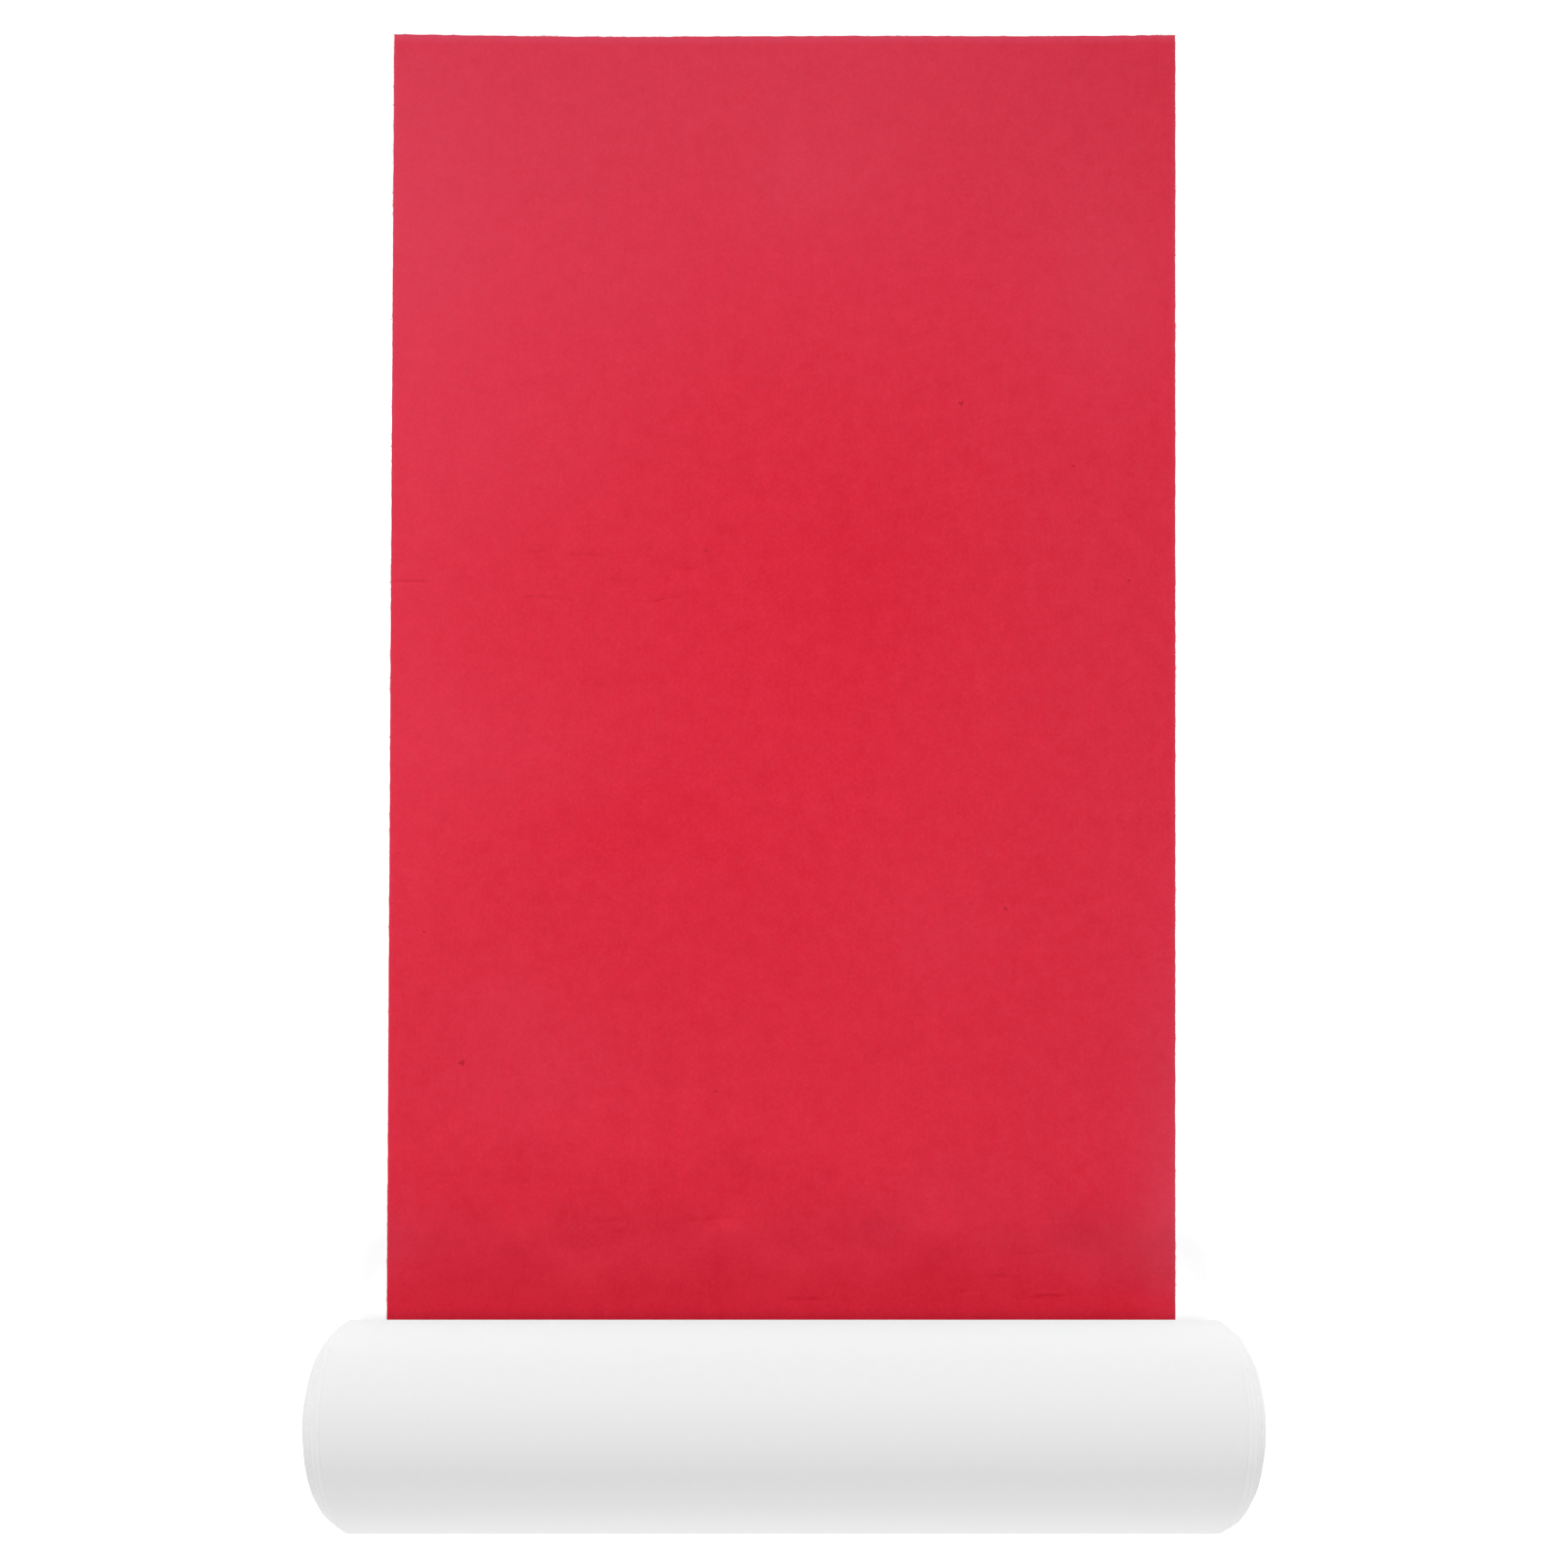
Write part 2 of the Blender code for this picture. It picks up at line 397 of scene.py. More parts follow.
# column and row of the middle, length in pixels, tilt in degrees, height and half-width in millimetres
CREASES = [
    (444, 631, 40, -3, -0.32, 0.8), (502, 627, 22, 0, -0.10, 0.8),
    (590, 648, 50, 1, -0.15, 0.8), (640, 603, 44, -2, -0.12, 0.9),
    (583, 599, 24, 6, -0.12, 0.8), (720, 650, 38, 8, -0.22, 0.8),
    (742, 615, 22, 0, -0.15, 0.9), (665, 629, 34, -6, -0.10, 0.9),
    (770, 1321, 70, 2, -0.12, 1.1), (783, 1332, 44, 0, 0.08, 2.6),
    (675, 1335, 28, -12, -0.14, 1.3), (655, 1322, 36, 5, -0.10, 1.0),
    (1122, 1358, 50, 1, -0.12, 0.9), (905, 1355, 42, 0, -0.10, 0.9),
    (1085, 1385, 32, -2, -0.12, 0.9), (875, 1407, 48, 0, -0.18, 0.9),
    (928, 1400, 22, -3, -0.14, 0.8), (1052, 1402, 26, 0, 0.12, 0.9),
    (1138, 1400, 38, 1, 0.14, 0.9), (1135, 1406, 44, 1, -0.18, 0.8),
]
CREASE_WAVER = 0.0008
CREASE_WAVER_LENGTH = 0.009
WHOLE_SHARE = 0.9
BROKEN_SHARE = 0.35
BROKEN_LENGTH = 0.0016
FAR_EDGE_WAVES = 5.0
FAR_EDGE_START = 0.8


def creases_at(x, y):
    """The height of all the creases together at a place."""
    height = np.zeros(np.broadcast(x, y).shape)
    for column, row, length, tilt, high, half in CREASES:
        middle_x, middle_y = on_sheet(column, row)
        turn = math.radians(tilt)
        along = (x - middle_x) * math.cos(turn) + (y - middle_y) * math.sin(turn)
        across = (y - middle_y) * math.cos(turn) - (x - middle_x) * math.sin(turn)
        across = across + CREASE_WAVER * np.sin(along / CREASE_WAVER_LENGTH + column)
        ridge = np.exp(-((2 * along / (length * PIXEL)) ** 4) - (across / (half * MILLIMETRE)) ** 2)
        broken = WHOLE_SHARE + BROKEN_SHARE * np.sin(along / BROKEN_LENGTH + row)
        height = height + high * MILLIMETRE * ridge * broken
    return height


def sheet_relief(x, y, z, on_top):
    """Lift the red side by its slow waves and creases. The paper side stays on the table."""
    x, y = np.broadcast_arrays(x, y)
    wave = np.zeros(x.shape)
    for way, share, length, snaking, snake_length, snake_start, start in SLOW_WAVES:
        along, across = (y, x) if way == "y" else (x, y)
        snake = snaking * np.sin(TAU * across / snake_length + snake_start)
        wave = wave + share * np.sin(TAU * along / length + snake + start)
    height = WAVE_HEIGHT * wave / WAVES_TOGETHER + creases_at(x, y)
    fade = np.clip((y - AXIS_Y) / WAVE_FADES_OVER, 0.0, 1.0) ** 2
    return y, z + height * fade * on_top


def left_edge_x(y):
    """The slanting left edge of the loose end."""
    return SHEET_LEFT_NEAR + (SHEET_LEFT_FAR - SHEET_LEFT_NEAR) * (y - AXIS_Y) / LOOSE_LENGTH


def far_edge_y(x):
    """The far edge: cut by hand, its corners a little further out than its middle."""
    side = 2 * (x - SHEET_LEFT_FAR) / (SHEET_RIGHT - SHEET_LEFT_FAR) - 1
    bow = FAR_EDGE_BOW * side**2 + FAR_EDGE_WAVE * np.sin(FAR_EDGE_WAVES * side + FAR_EDGE_START)
    return AXIS_Y + LOOSE_LENGTH - FAR_EDGE_BOW - FAR_EDGE_WAVE + bow


print(f"{len(CREASES)} creases, and the middle of the far edge at y {far_edge_y(0.0):.4f}")

# %% [markdown]
# The loose end is laid out as straight rows from the roll to the far edge, close together where it is
# creased. They are drawn in to the wavy cut, which scissors leave with tiny nicks. The paper under it has
# the same outline, cut clean.

# %% Lay out the felt and the paper
ROWS = 170
COLUMNS = 150
PAPER_ROWS = 40
CREASED_ROWS = [(595, 656), (1313, 1412)]
FINE_ROW = 0.0008
ROW_MARGIN = 0.001
NICK = 0.00012
DRAGGED_OUT = 0.0007
NICKED_SHARE = 0.008
LOOSE_BAND = 0.0010
LOOSE_RAGGED = 0.00006
FIRST_COLUMN = 0.007
nicks = np.random.default_rng(5).normal(DRAGGED_OUT, NICK, COLUMNS + 4)


def felt_rows():
    """Shares of the loose end's length for its rows: even ones, and fine ones where it is creased."""
    rows = [step / ROWS for step in range(ROWS + 1)]
    for top, bottom in CREASED_ROWS:
        low, high = ((on_sheet(0, row)[1] - AXIS_Y) / LOOSE_LENGTH for row in (bottom, top))
        rows = [share for share in rows if not low - ROW_MARGIN < share < high + ROW_MARGIN]
        rows += list(np.linspace(low, high, round((high - low) * LOOSE_LENGTH / FINE_ROW)))
    return sorted(rows)


def loose_places(rows):
    """Straight rows from the far edge to under the roll, as places on the strip."""
    places = []
    for share in reversed(rows):
        y = AXIS_Y + LOOSE_LENGTH * share
        places.append((y, 0.0, 0.0, 1.0, left_edge_x(y), SHEET_RIGHT, -LOOSE_LENGTH * share))
    return places


def felt_surface(x, y, z, on_top):
    """Pull the straight rows to the wavy, nicked far edge, and add the surface's relief."""
    x, y = np.broadcast_arrays(x, y)
    share = (y - AXIS_Y) / LOOSE_LENGTH
    nick = np.interp(x, np.linspace(SHEET_LEFT_NEAR, SHEET_RIGHT, len(nicks)), nicks)
    nicked = np.clip((share - (1 - NICKED_SHARE)) / NICKED_SHARE, 0.0, 1.0)
    y = AXIS_Y + (far_edge_y(x) + nick * nicked - AXIS_Y) * share
    return sheet_relief(x, y, z, on_top)


def paper_surface(x, y, z, on_top):
    """Pull the straight rows to the wavy far edge."""
    x, y = np.broadcast_arrays(x, y)
    return AXIS_Y + (far_edge_y(x) - AXIS_Y) * (y - AXIS_Y) / LOOSE_LENGTH, z


columns = np.linspace(FIRST_COLUMN, 1 - FIRST_COLUMN, COLUMNS - 1)
loose_stations = stations_across(columns, FELT_ROUND, LOOSE_BAND)
felt_loose = strip_layer("felt_loose", loose_places(felt_rows()), loose_stations, FELT_BACK,
                         STRIP_THICKNESS, FELT_ROUND, ragged=LOOSE_RAGGED, relief=felt_surface, seed=3)
paper_rows = [step / PAPER_ROWS for step in range(PAPER_ROWS + 1)]
backing_loose = strip_layer("backing_loose", loose_places(paper_rows), paper_stations, 0.0,
                            PAPER_THICKNESS, PAPER_BULGE, relief=paper_surface)

# %% [markdown]
# ## How the nap lies, with painted light and shade
# Handling brushes the nap of felt one way here and another way there, and those areas look lighter or
# darker, and some look paler, as if dusted. The same soft areas also paint light and shade into the
# colour: painted light on the left side, a painted shade in a band beside the roll, light and dark bands
# that even out the shading of the slow waves, and a painted sheen that makes the far end paler. Creases
# get painted shade in their troughs and painted light on their ridges, and the fluffed rim of a cut is
# paler. Painting all this would need an image. A short table of soft round areas, stored on the mesh as
# two attributes, gives the same and stays easy to change.

# %% Brush the nap, and paint light, shade and sheen
# column and row of the middle, half-width and half-height in pixels, how much lighter (nap, painted light
# and shade), how much paler (nap, painted sheen)
NAP_AND_LIGHT_AREAS = [
    (850, 0, 900, 330, -0.30, 0.72), (1290, 40, 300, 170, -0.50, -0.12),
    (425, 620, 75, 520, 0.30, 0.12), (440, 230, 110, 260, 0.12, 0.30),
    (560, 300, 170, 170, 0.12, 0.16), (1275, 1350, 40, 90, 0.45, 0.45),
    (430, 1350, 45, 60, 0.45, 0.15), (700, 290, 420, 170, 0.16, 0.00),
    (480, 640, 260, 420, 0.25, 0.06), (1260, 700, 200, 900, -0.28, 0.18),
    (800, 1010, 420, 90, -0.20, 0.00), (1275, 1190, 50, 200, -0.05, 0.35),
    (850, 640, 190, 280, 0.05, -0.12), (872, 204, 85, 62, 0.10, 0.16),
    (1205, 320, 85, 100, 0.06, 0.20), (555, 495, 105, 80, 0.09, 0.12),
    (510, 800, 115, 70, 0.15, 0.12), (690, 900, 110, 45, -0.12, -0.12),
    (555, 1094, 60, 52, 0.08, 0.16), (575, 1178, 105, 66, 0.12, 0.14),
    (1005, 1002, 85, 70, 0.07, 0.14), (950, 610, 90, 110, -0.15, -0.05),
    (690, 330, 90, 60, -0.12, 0.10), (1020, 1300, 110, 40, 0.05, 0.15),
    # bands across the near rows: painted shade beside the roll, and painted light and shade that even out
    # the slow waves
    (850, 1294, 900, 46, -0.42, 0.06), (850, 1287, 900, 34, -0.22, 0.00),
    (850, 1351, 900, 24, 0.64, -0.10), (1190, 1388, 80, 60, 0.00, 0.20),
    (850, 1400, 430, 45, 0.00, -0.22), (850, 1440, 900, 60, -0.58, -0.42),
]
CREASE_PAINTED_SHADE = 3000.0
RIM_PALER = 0.9
RIM_WIDTH = 0.0007
LONG_WAVER = 0.012
LONG_WAVER_LENGTH = 0.021
SHORT_WAVER = 0.008
SHORT_WAVER_LENGTH = 0.0093
WAVER_SHARE = 0.4


def vertex_places(mesh):
    """Where the vertices of a mesh are."""
    at = np.empty(len(mesh.vertices) * 3)
    mesh.vertices.foreach_get("co", at)
    return at.reshape(-1, 3)


def paint_nap_and_light(piece):
    """Store on each point of a piece the nap's tone with the painted light, shade and sheen."""
    x, y = vertex_places(piece.data).T[:2]
    from_cut = np.minimum(np.minimum(x - left_edge_x(y), SHEET_RIGHT - x), far_edge_y(x) - y)
    paler_nap_and_sheen = RIM_PALER * np.exp(-np.clip(from_cut, 0.0, None) / RIM_WIDTH)
    # painted shade in the troughs of the creases, and painted light on their ridges
    nap_and_painted_light = CREASE_PAINTED_SHADE * creases_at(x, y)
    for column, row, half_width, half_height, light, pale in NAP_AND_LIGHT_AREAS:
        middle_x, middle_y = on_sheet(column, row)
        waver = LONG_WAVER * np.sin(x / LONG_WAVER_LENGTH + row)
        waver = waver + SHORT_WAVER * np.sin(x / SHORT_WAVER_LENGTH + column)
        area = np.exp(-((x - middle_x) / (half_width * PIXEL)) ** 2
                      - ((y - middle_y + waver * WAVER_SHARE) / (half_height * PIXEL)) ** 2)
        nap_and_painted_light += light * area
        paler_nap_and_sheen += pale * area
    for name, values in (("nap_and_painted_light", nap_and_painted_light), ("paler_nap_and_sheen", paler_nap_and_sheen)):
        piece.data.attributes.new(name, "FLOAT", "POINT").data.foreach_set("value", values)
    print(f"{piece.name}: lighter {nap_and_painted_light.min():.2f} to {nap_and_painted_light.max():.2f},"
          f" paler up to {paler_nap_and_sheen.max():.2f}")


paint_nap_and_light(felt_loose)

# %% [markdown]
# ## Stray hairs
# Felt has no weave to hold it, only fibres that cling to each other, so its cut edges and its face carry
# fine stray hairs. Blender's hair curves would do, but an exported model loses them. Here each hair is a
# bent spike with three sides, and thousands of them are joined into one mesh with numpy.

# %% Make a mesh of hairs
HAIR_RINGS = 3
HAIR_SIDES = 3
HAIR_TAPER = 0.6
NEARLY_UP = (0.13, 0.21, 0.97)
TABLE_CLEARANCE = 0.00002


def unit(vectors):
    """The same directions, one long."""
    return vectors / np.linalg.norm(vectors, axis=-1, keepdims=True)


def hair_faces(hairs):
    """Faces of closed spikes: rings of three points, a tip, and a small cap at the root."""
    size = HAIR_RINGS * HAIR_SIDES + 1
    tip = size - 1
    faces = [[2, 1, 0]]
    for ring in range(HAIR_RINGS - 1):
        for side in range(HAIR_SIDES):
            a, b = ring * HAIR_SIDES + side, ring * HAIR_SIDES + (side + 1) % HAIR_SIDES
            faces.append([a, b, b + HAIR_SIDES, a + HAIR_SIDES])
    top = (HAIR_RINGS - 1) * HAIR_SIDES
    faces += [[top + side, top + (side + 1) % HAIR_SIDES, tip] for side in range(HAIR_SIDES)]
    return [[hair * size + v for v in face] for hair in range(hairs) for face in faces]


def lay_uvs_from_above(mesh):
    """UVs in metres, straight from above, for pieces too small to unroll."""
    corners = np.empty(len(mesh.loops), dtype=np.int32)
    mesh.loops.foreach_get("vertex_index", corners)
    mesh.uv_layers.new(name="strip").data.foreach_set("uv", vertex_places(mesh)[corners, :2].ravel())


def hair_mesh(name, roots, headings, bends, lengths, widths, settle=None):
    """Tapered, bent hairs: a root, a heading, a sideways bend, a length and a width for each."""
    headings = unit(headings)
    side = unit(np.cross(headings, NEARLY_UP))
    over = np.cross(headings, side)
    points = []
    for ring in range(HAIR_RINGS + 1):
        share = ring / HAIR_RINGS
        middle = roots + (headings * share + bends * share**2) * lengths[:, None]
        middle = settle(middle, share) if settle else middle
        if ring == HAIR_RINGS:
            points.append(middle[:, None, :])
            continue
        radius = widths[:, None] / 2 * (1 - HAIR_TAPER * share)
        for corner in range(HAIR_SIDES):
            turn = TAU * corner / HAIR_SIDES
            points.append((middle + radius * (side * math.cos(turn) + over * math.sin(turn)))[:, None, :])
    points = np.concatenate(points, axis=1)
    points[:, :, 2] = np.maximum(points[:, :, 2], TABLE_CLEARANCE)
    mesh = bpy.data.meshes.new(name)
    mesh.from_pydata(points.reshape(-1, 3).tolist(), [], hair_faces(len(roots)))
    lay_uvs_from_above(mesh)
    mesh.shade_smooth()
    return report(place_in_scene(mesh))


print("faces on a hair", len(hair_faces(1)))

# %% [markdown]
# Scissors leave hairs in small tufts rather than evenly, so part of them are gathered round places a
# few millimetres apart. The hairs of the loose end root a little inside its cut edges, all the way
# round the three sides that show.

# %% Hairs on the cut edges of the loose end
HAIR_WIDTH = 0.00005
FRINGE_HAIR_WIDTH = 0.00009
FAR_HAIRS = 3600
SIDE_HAIRS = 4200
TUFT_SPACING = 0.008
TUFT_WIDTH = 0.0012
TUFTED_SHARE = 0.6
ROOT_DEPTH = 0.00025
CLEAR_OF_ROLL = 0.02
CLEAR_OF_CORNER = 0.002
LOWEST_ROOT = PAPER_THICKNESS * 2
HIGHEST_ROOT = STRIP_THICKNESS * 0.92
SHORTEST_HAIR = 0.0005
LONGEST_EXTRA = 0.0020
FRINGE_EXTRA = 0.00045
# how far hairs turn, how much of that each way, how far they bend, how much each way, and their droop
FRINGE_LAY = (0.55, (1.0, 1.0, 0.5), 0.5, (1.0, 1.0, 0.3), -0.25)
rng = np.random.default_rng(21)


def places_in_tufts(low, high, count):
    """Places along an edge, most of them gathered in tufts."""
    tufts = rng.uniform(low, high, int((high - low) / TUFT_SPACING))
    gathered = rng.choice(tufts, count) + rng.normal(0.0, TUFT_WIDTH, count)
    spread = rng.uniform(low, high, count)
    return np.clip(np.where(rng.random(count) < TUFTED_SHARE, gathered, spread), low, high)


def hair_lengths(count, usual_extra):
    """Most hairs are short, and a few long."""
    return SHORTEST_HAIR + rng.exponential(usual_extra, count).clip(0.0, LONGEST_EXTRA)


def hair_widths(count, width, thinnest=0.7, thickest=1.3):
    """Hairs a little thinner and thicker than the width."""
    return width * rng.uniform(thinnest, thickest, count)


def strewn(outwards, count, turn, turn_each_way, bend, bend_each_way, droop):
    """Headings and bends of hairs that point outwards, more or less."""
    headings = outwards + rng.normal(0.0, turn, (count, 3)) * turn_each_way
    bends = rng.normal(0.0, bend, (count, 3)) * bend_each_way + (0.0, 0.0, droop)
    return headings, bends


def edge_hairs(along_low, along_high, count, outwards, place):
    """Roots, headings, bends and lengths of hairs that stand out of one cut edge."""
    along = places_in_tufts(along_low, along_high, count)
    roots = place(along) - np.array(outwards) * ROOT_DEPTH
    roots[:, 2] = rng.uniform(LOWEST_ROOT, HIGHEST_ROOT, count)
    headings, bends = strewn(outwards, count, *FRINGE_LAY)
    return roots, headings, bends, hair_lengths(count, FRINGE_EXTRA)


near_y = AXIS_Y + CLEAR_OF_ROLL
far_y = AXIS_Y + LOOSE_LENGTH - CLEAR_OF_CORNER
sets = [
    edge_hairs(SHEET_LEFT_FAR, SHEET_RIGHT, FAR_HAIRS, (0.0, 1.0, 0.0),
               lambda x: np.stack([x, far_edge_y(x) + DRAGGED_OUT, 0 * x], axis=1)),
    edge_hairs(near_y, far_y, SIDE_HAIRS, (-1.0, 0.0, 0.0),
               lambda y: np.stack([left_edge_x(y), y, 0 * y], axis=1)),
    edge_hairs(near_y, far_y, SIDE_HAIRS, (1.0, 0.0, 0.0),
               lambda y: np.stack([0 * y + SHEET_RIGHT, y, 0 * y], axis=1)),
]
roots, headings, bends, lengths = (np.concatenate(part) for part in zip(*sets))
widths = hair_widths(len(roots), FRINGE_HAIR_WIDTH)
edge_fluff = hair_mesh("edge_fluff", roots, headings, bends, lengths, widths)

# %% [markdown]
# The far edge has been cut by hand. Flat dark tufts lie along it, each a row of short hairs close together,
# turned over the edge. Their dark red is a painted shadow along the cut edge.

# %% Tufts on the far edge, a painted shadow
TUFTS = 70
TUFT_HAIRS = 26
TUFT_SPREAD = (0.6, 2.2)
TUFT_HEIGHTS = (0.6, 1.0)
TUFT_LENGTHS = (0.0005, 0.0013)
TUFT_HAIR_WIDTH = 1.6 * HAIR_WIDTH
TUFT_LAY = (0.7, (1.0, 0.4, 0.3), 0.5, 1.0, -0.4)
tufts = rng.uniform(SHEET_LEFT_FAR + CLEAR_OF_CORNER, SHEET_RIGHT - CLEAR_OF_CORNER, TUFTS)
tuft_x = np.repeat(tufts, TUFT_HAIRS)
tuft_x += np.repeat(rng.uniform(*TUFT_SPREAD, TUFTS), TUFT_HAIRS) * rng.normal(0.0, MILLIMETRE, len(tuft_x))
tuft_x = np.clip(tuft_x, SHEET_LEFT_FAR, SHEET_RIGHT)
roots = np.stack([tuft_x, far_edge_y(tuft_x) + DRAGGED_OUT - ROOT_DEPTH, 0 * tuft_x], axis=1)
roots[:, 2] = rng.uniform(*TUFT_HEIGHTS, len(roots)) * STRIP_THICKNESS
headings, bends = strewn((0.0, 1.0, 0.0), len(roots), *TUFT_LAY)
lengths = rng.uniform(*TUFT_LENGTHS, len(roots))
widths = hair_widths(len(roots), TUFT_HAIR_WIDTH)
far_edge_shadow_tufts = hair_mesh("far_edge_shadow_tufts", roots, headings, bends, lengths, widths)

# %% [markdown]
# The cut edges of the wound turns show at both ends of the roll. Their hairs root at random places along
# the same spiral, in the thickness of the felt, and stand outwards.

# %% Hairs on the ends of the roll
END_HAIRS = 9000
END_EXTRA = 0.0004
END_LAY = (0.5, 1.0, 0.45, 1.0, -0.15)
FIRST_ANGLE = 0.4
HIGHEST_END_ROOT = STRIP_THICKNESS * 0.95


def end_hair(side):
    """Root and heading of one hair at the left or right end of the roll."""
    angle = rng.uniform(FIRST_ANGLE, TAU * TURNS)
    y, z, into_y, into_z = wound_place(angle)
    depth = rng.uniform(LOWEST_ROOT, HIGHEST_END_ROOT)
    x = wound_edges(angle)[side] + (ROOT_DEPTH if side == 0 else -ROOT_DEPTH)
    outwards = -1.0 if side == 0 else 1.0
    return (x, y + into_y * depth, z + into_z * depth), (outwards, 0.0, 0.0)


roots, outwards = np.array([end_hair(number % 2) for number in range(END_HAIRS)]).swapaxes(0, 1)
headings, bends = strewn(outwards, END_HAIRS, *END_LAY)
lengths = hair_lengths(END_HAIRS, END_EXTRA)
widths = hair_widths(END_HAIRS, HAIR_WIDTH)
end_fluff = hair_mesh("end_fluff", roots, headings, bends, lengths, widths)

# %% [markdown]
# More hairs lie loose on the red face itself. They are longer, and each follows the height of the felt
# under it with a low arch, so that only its ends touch.

# %% Hairs lying on the face
FACE_HAIRS = 9000
FACE_HAIR_ARCH = 0.00006
FACE_MARGIN = 0.003
FACE_HAIRS_START = 0.03
FACE_BEND = 0.45
FACE_LENGTHS = (0.001, 0.0028)
FACE_WIDTHS = (0.6, 1.2)
LIES_ABOVE = HAIR_WIDTH * 0.2


def face_height(x, y):
    """The height of the red face at a place."""
    return sheet_relief(x, y, np.full_like(x, STRIP_THICKNESS), True)[1]


def lie_on_face(points, share):
    """Drop the points of a hair on the face, its middle a little above it."""
    x, y = points[:, 0], points[:, 1]
    lift = FACE_HAIR_ARCH * math.sin(math.pi * share) + LIES_ABOVE
    return np.stack([x, y, face_height(x, y) + lift], axis=1)


x = rng.uniform(SHEET_LEFT_FAR + FACE_MARGIN, SHEET_RIGHT - FACE_MARGIN, FACE_HAIRS)
y = rng.uniform(AXIS_Y + FACE_HAIRS_START, AXIS_Y + LOOSE_LENGTH - 2 * FACE_MARGIN, FACE_HAIRS)
way = rng.uniform(0.0, TAU, FACE_HAIRS)
roots = np.stack([x, y, 0 * x], axis=1)
headings = np.stack([np.cos(way), np.sin(way), 0 * x], axis=1)
bends = rng.normal(0.0, FACE_BEND, (FACE_HAIRS, 3)) * (1.0, 1.0, 0.0)
lengths = rng.uniform(*FACE_LENGTHS, FACE_HAIRS)
widths = hair_widths(FACE_HAIRS, HAIR_WIDTH, *FACE_WIDTHS)
face_fluff = hair_mesh("face_fluff", roots, headings, bends, lengths, widths, settle=lie_on_face)

# %% [markdown]
# ## Knots of fibre
# A few fibres ball up while felt is needled. They stay in it as small dark flat knots, each a low lumpy
# dome here, pressed into the face.

# %% Press in the knots
# column, row, width in millimetres
KNOTS = [(501, 1152, 3.4), (1042, 437, 3.0), (1090, 985, 2.6), (776, 1183, 2.0), (765, 597, 1.8),
         (1224, 629, 2.0), (1164, 505, 1.8), (460, 1010, 1.6)]
KNOT_HEIGHT = 0.00016
KNOT_LUMPS = (0.22, 0.14)
KNOT_FLATNESS = 0.8
work = bmesh.new()
for column, row, width in KNOTS:
    middle_x, middle_y = on_sheet(column, row)
    rise = float(face_height(np.array([middle_x]), np.array([middle_y]))[0])
    made = bmesh.ops.create_icosphere(work, subdivisions=3, radius=1.0)
    for vertex in made["verts"]:
        way = math.atan2(vertex.co.y, vertex.co.x)
        lumps = KNOT_LUMPS[0] * math.sin(3 * way + column) + KNOT_LUMPS[1] * math.sin(5 * way + row)
        reach = width * MILLIMETRE / 2 * (1 + lumps)
        vertex.co = (middle_x + vertex.co.x * reach, middle_y + vertex.co.y * reach * KNOT_FLATNESS,
                     rise + vertex.co.z * KNOT_HEIGHT)
knot_mesh = bpy.data.meshes.new("felt_knots")
work.to_mesh(knot_mesh)
work.free()
lay_uvs_from_above(knot_mesh)
knot_mesh.shade_smooth()
felt_knots = report(place_in_scene(knot_mesh))

# %% [markdown]
# ## Shader groups
# Felt and paper are both mats of fibre, only at other sizes. So that effect is one node group, placed in
# every material with its own sizes. A few helpers keep the node code short.

# %% Helpers for nodes


def new_group(name, inputs, outputs):
    """A shader group with its sockets, its input node and its output node."""
    group = bpy.data.node_groups.new(name, "ShaderNodeTree")
    for label, kind, value in inputs:
        socket = group.interface.new_socket(label, in_out="INPUT", socket_type="NodeSocket" + kind)
        if value is not None:
            socket.default_value = value
    for label, kind in outputs:
        group.interface.new_socket(label, in_out="OUTPUT", socket_type="NodeSocket" + kind)
    return group, group.nodes.new("NodeGroupInput"), group.nodes.new("NodeGroupOutput")


def feed(tree, socket, value):
    """Link an output to a socket, or set a plain value on it."""
    if isinstance(value, bpy.types.NodeSocket):
        tree.links.new(value, socket)
    else:
        socket.default_value = value


def feed_inputs(tree, node, values):
    """Feed several inputs of a node, by label or number."""
    for label, value in values.items():
        feed(tree, node.inputs[label], value)


def put(tree, kind, values=None, **settings):
    """A new node with its settings and inputs."""
    made = tree.nodes.new(kind)
    for key, value in settings.items():
        setattr(made, key, value)
    feed_inputs(tree, made, values or {})
    return made


def maths(tree, operation, first, second=0.0, clamp=False):
    """The result of a Math node."""
    made = put(tree, "ShaderNodeMath", {0: first, 1: second}, operation=operation, use_clamp=clamp)
    return made.outputs[0]


def stretch(tree, value, low, high):
    """Stretch low to high out to 0 to 1, and cut off the rest."""
    ends = {"Value": value, "From Min": low, "From Max": high}
    return put(tree, "ShaderNodeMapRange", ends, clamp=True).outputs["Result"]


def mix_colours(tree, factor, first, second):
    """Blend two colours."""
    made = put(tree, "ShaderNodeMix", data_type="RGBA")
    colour_inputs = [socket for socket in made.inputs if socket.type == "RGBA"]
    feed(tree, made.inputs["Factor"], factor)
    feed(tree, colour_inputs[0], first)
    feed(tree, colour_inputs[1], second)
    return next(socket for socket in made.outputs if socket.type == "RGBA")


print("a group can be built with", ", ".join(step.__name__ for step in (new_group, put, feed, maths)))

# %% [markdown]
# ### A mat of fibres
# The group takes the strip's UVs, which are metres. Soft clouds show where the mat is thicker. Noise
# squeezed into long thin cells, laid at several angles, gives the single fibres, and a fine grain their
# ends. Another noise, taken from a place further on, shows where pale dust has settled in the mat. The
# group puts out the four masks and a height.

